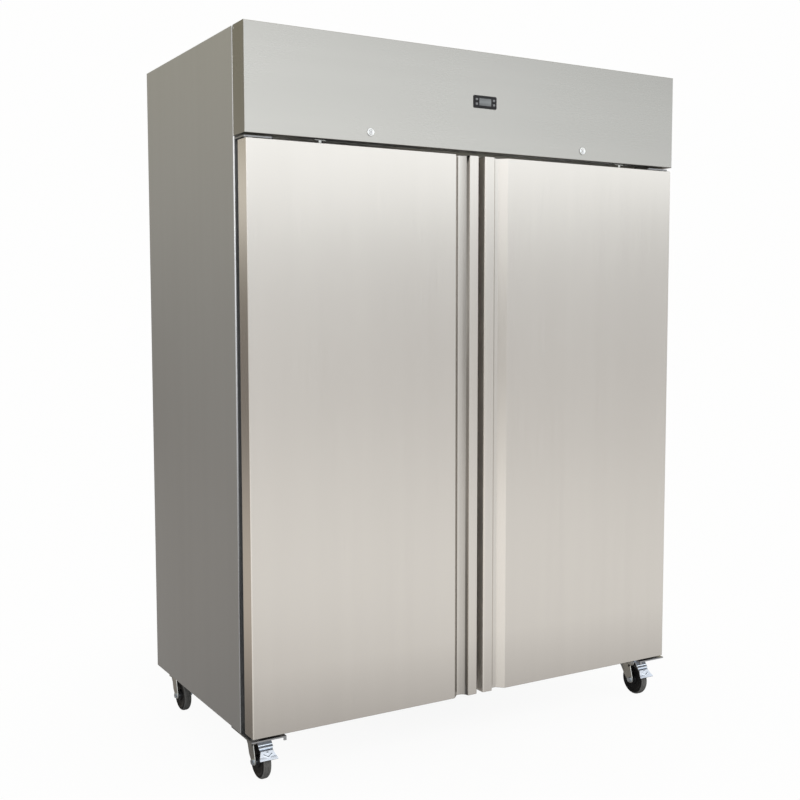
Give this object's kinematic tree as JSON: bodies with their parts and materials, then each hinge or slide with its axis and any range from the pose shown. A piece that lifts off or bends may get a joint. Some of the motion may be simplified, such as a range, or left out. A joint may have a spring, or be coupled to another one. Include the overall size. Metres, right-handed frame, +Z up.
{
  "type": "upright freezer cabinet",
  "caption": "Tall two-door stainless freezer cabinet with full-height folded door handles, a hinged header with controller and door locks, and braked swivel casters.",
  "frame": {"origin": "on the floor under the middle of the cabinet", "axes": "+Z up, +X to the right seen from the front, doors face -Y"},
  "size_m": [1.48, 0.7834, 2.03],
  "materials": {
    "stainless_side": "satin, plain sheet",
    "stainless_front": "brushed, satin",
    "stainless_inside": "satin",
    "galvanised": "dull spangled zinc",
    "foam": "rigid polyurethane foam",
    "white_plastic": "vacuum-formed, satin",
    "gasket": "soft, matte",
    "nylon": "moulded",
    "zinc": "bright zinc plate",
    "wheel_rubber": "matte",
    "coated_wire": "plastic-coated wire",
    "fin_aluminium": "mill finish",
    "fan_plastic": "moulded",
    "black_enamel": "gloss enamel",
    "copper": "drawn copper tube",
    "grey_plastic": "moulded",
    "black_plastic": "moulded",
    "display": "smoked window",
    "key_plastic": "moulded",
    "lock_chrome": "polished"
  },
  "bodies": {
    "cabinet": {"left_side_panel": "stainless_side", "right_side_panel": "stainless_side", "back_panel": "galvanised", "base_panel": "galvanised", "machine_deck": "galvanised", "insulation": "foam", "inner_liner": "stainless_inside", "front_frame": "stainless_inside", "centre_mullion": "stainless_inside", "rear_grille": "galvanised", "shelf_uprights": "stainless_inside", "shelf_runners": "stainless_inside", "wire_shelves": "coated_wire", "evaporator_cover": "white_plastic", "evaporator_coil": "fin_aluminium", "condenser_coil": "fin_aluminium", "condenser_shroud": "galvanised", "compressor": "black_enamel", "refrigerant_pipes": "copper", "electrics_box": "grey_plastic", "door_hinge_plates": "zinc", "fascia_hinges": "zinc", "caster_plates": "zinc"},
    "left_door": {"left_door_skin": "stainless_front", "left_door_core": "foam", "left_door_liner": "white_plastic", "left_door_gasket": "gasket", "left_door_bushes": "nylon"},
    "right_door": {"right_door_skin": "stainless_front", "right_door_core": "foam", "right_door_liner": "white_plastic", "right_door_gasket": "gasket", "right_door_bushes": "nylon"},
    "fascia": {"fascia_panel": "stainless_front", "controller_case": "black_plastic", "display_window": "display", "lock_sleeves": "lock_chrome"},
    "set_key": {"set_key": "key_plastic"},
    "defrost_key": {"defrost_key": "key_plastic"},
    "up_key": {"up_key": "key_plastic"},
    "down_key": {"down_key": "key_plastic"},
    "left_lock": {"left_lock_plug": "lock_chrome"},
    "right_lock": {"right_lock_plug": "lock_chrome"},
    "condenser_fan": {"condenser_fan": "fan_plastic"},
    "left_evaporator_fan": {"left_evaporator_fan": "fan_plastic"},
    "right_evaporator_fan": {"right_evaporator_fan": "fan_plastic"},
    "front_left_caster": {"front_left_fork": "zinc", "front_left_axle": "zinc"},
    "front_left_wheel": {"front_left_wheel": "wheel_rubber"},
    "front_left_pedal": {"front_left_pedal": "zinc"},
    "front_right_caster": {"front_right_fork": "zinc", "front_right_axle": "zinc"},
    "front_right_wheel": {"front_right_wheel": "wheel_rubber"},
    "front_right_pedal": {"front_right_pedal": "zinc"},
    "rear_left_caster": {"rear_left_fork": "zinc", "rear_left_axle": "zinc"},
    "rear_left_wheel": {"rear_left_wheel": "wheel_rubber"},
    "rear_right_caster": {"rear_right_fork": "zinc", "rear_right_axle": "zinc"},
    "rear_right_wheel": {"rear_right_wheel": "wheel_rubber"}
  },
  "joints": [
    {"name": "left_door_hinge", "type": "hinge", "parent": "cabinet", "child": "left_door", "pos_m": [-0.7184, -0.363, 0.141], "axis": [0, 0, -1], "range_deg": [0, 110]},
    {"name": "right_door_hinge", "type": "hinge", "parent": "cabinet", "child": "right_door", "pos_m": [0.7184, -0.363, 0.141], "axis": [0, 0, 1], "range_deg": [0, 110]},
    {"name": "fascia_tilt", "type": "hinge", "parent": "cabinet", "child": "fascia", "pos_m": [0, -0.324, 2.021], "axis": [-1, 0, 0], "range_deg": [0, 70]},
    {"name": "set_key_press", "type": "slide", "parent": "fascia", "child": "set_key", "axis": [0, 1, 0], "range_m": [0, 0.0006], "stiffness_N_per_m": 400},
    {"name": "defrost_key_press", "type": "slide", "parent": "fascia", "child": "defrost_key", "axis": [0, 1, 0], "range_m": [0, 0.0006], "stiffness_N_per_m": 400},
    {"name": "up_key_press", "type": "slide", "parent": "fascia", "child": "up_key", "axis": [0, 1, 0], "range_m": [0, 0.0006], "stiffness_N_per_m": 400},
    {"name": "down_key_press", "type": "slide", "parent": "fascia", "child": "down_key", "axis": [0, 1, 0], "range_m": [0, 0.0006], "stiffness_N_per_m": 400},
    {"name": "left_lock_turn", "type": "hinge", "parent": "fascia", "child": "left_lock", "pos_m": [-0.37, -0.39, 1.774], "axis": [0, -1, 0], "range_deg": [0, 90]},
    {"name": "right_lock_turn", "type": "hinge", "parent": "fascia", "child": "right_lock", "pos_m": [0.37, -0.39, 1.774], "axis": [0, 1, 0], "range_deg": [0, 90]},
    {"name": "condenser_fan_spin", "type": "hinge", "parent": "cabinet", "child": "condenser_fan", "pos_m": [-0.33004, -0.196, 1.867], "axis": [0, 1, 0], "continuous": true},
    {"name": "left_evaporator_fan_spin", "type": "hinge", "parent": "cabinet", "child": "left_evaporator_fan", "pos_m": [-0.23, 0.0006, 1.601], "axis": [0, 1, 0], "continuous": true},
    {"name": "right_evaporator_fan_spin", "type": "hinge", "parent": "cabinet", "child": "right_evaporator_fan", "pos_m": [0.23, 0.0006, 1.601], "axis": [0, 1, 0], "continuous": true},
    {"name": "front_left_swivel", "type": "hinge", "parent": "cabinet", "child": "front_left_caster", "pos_m": [-0.683, -0.285, 0.118], "axis": [0, 0, 1], "continuous": true},
    {"name": "front_left_wheel_spin", "type": "hinge", "parent": "front_left_caster", "child": "front_left_wheel", "pos_m": [-0.683, -0.317, 0.05], "axis": [1, 0, 0], "continuous": true},
    {"name": "front_left_brake", "type": "hinge", "parent": "front_left_caster", "child": "front_left_pedal", "pos_m": [-0.683, -0.325, 0.109], "axis": [1, 0, 0], "range_deg": [0, 5]},
    {"name": "front_right_swivel", "type": "hinge", "parent": "cabinet", "child": "front_right_caster", "pos_m": [0.683, -0.285, 0.118], "axis": [0, 0, 1], "continuous": true},
    {"name": "front_right_wheel_spin", "type": "hinge", "parent": "front_right_caster", "child": "front_right_wheel", "pos_m": [0.683, -0.317, 0.05], "axis": [1, 0, 0], "continuous": true},
    {"name": "front_right_brake", "type": "hinge", "parent": "front_right_caster", "child": "front_right_pedal", "pos_m": [0.683, -0.325, 0.109], "axis": [1, 0, 0], "range_deg": [0, 5]},
    {"name": "rear_left_swivel", "type": "hinge", "parent": "cabinet", "child": "rear_left_caster", "pos_m": [-0.683, 0.342, 0.118], "axis": [0, 0, 1], "continuous": true},
    {"name": "rear_left_wheel_spin", "type": "hinge", "parent": "rear_left_caster", "child": "rear_left_wheel", "pos_m": [-0.683, 0.31, 0.05], "axis": [1, 0, 0], "continuous": true},
    {"name": "rear_right_swivel", "type": "hinge", "parent": "cabinet", "child": "rear_right_caster", "pos_m": [0.683, 0.342, 0.118], "axis": [0, 0, 1], "continuous": true},
    {"name": "rear_right_wheel_spin", "type": "hinge", "parent": "rear_right_caster", "child": "rear_right_wheel", "pos_m": [0.683, 0.31, 0.05], "axis": [1, 0, 0], "continuous": true}
  ]
}
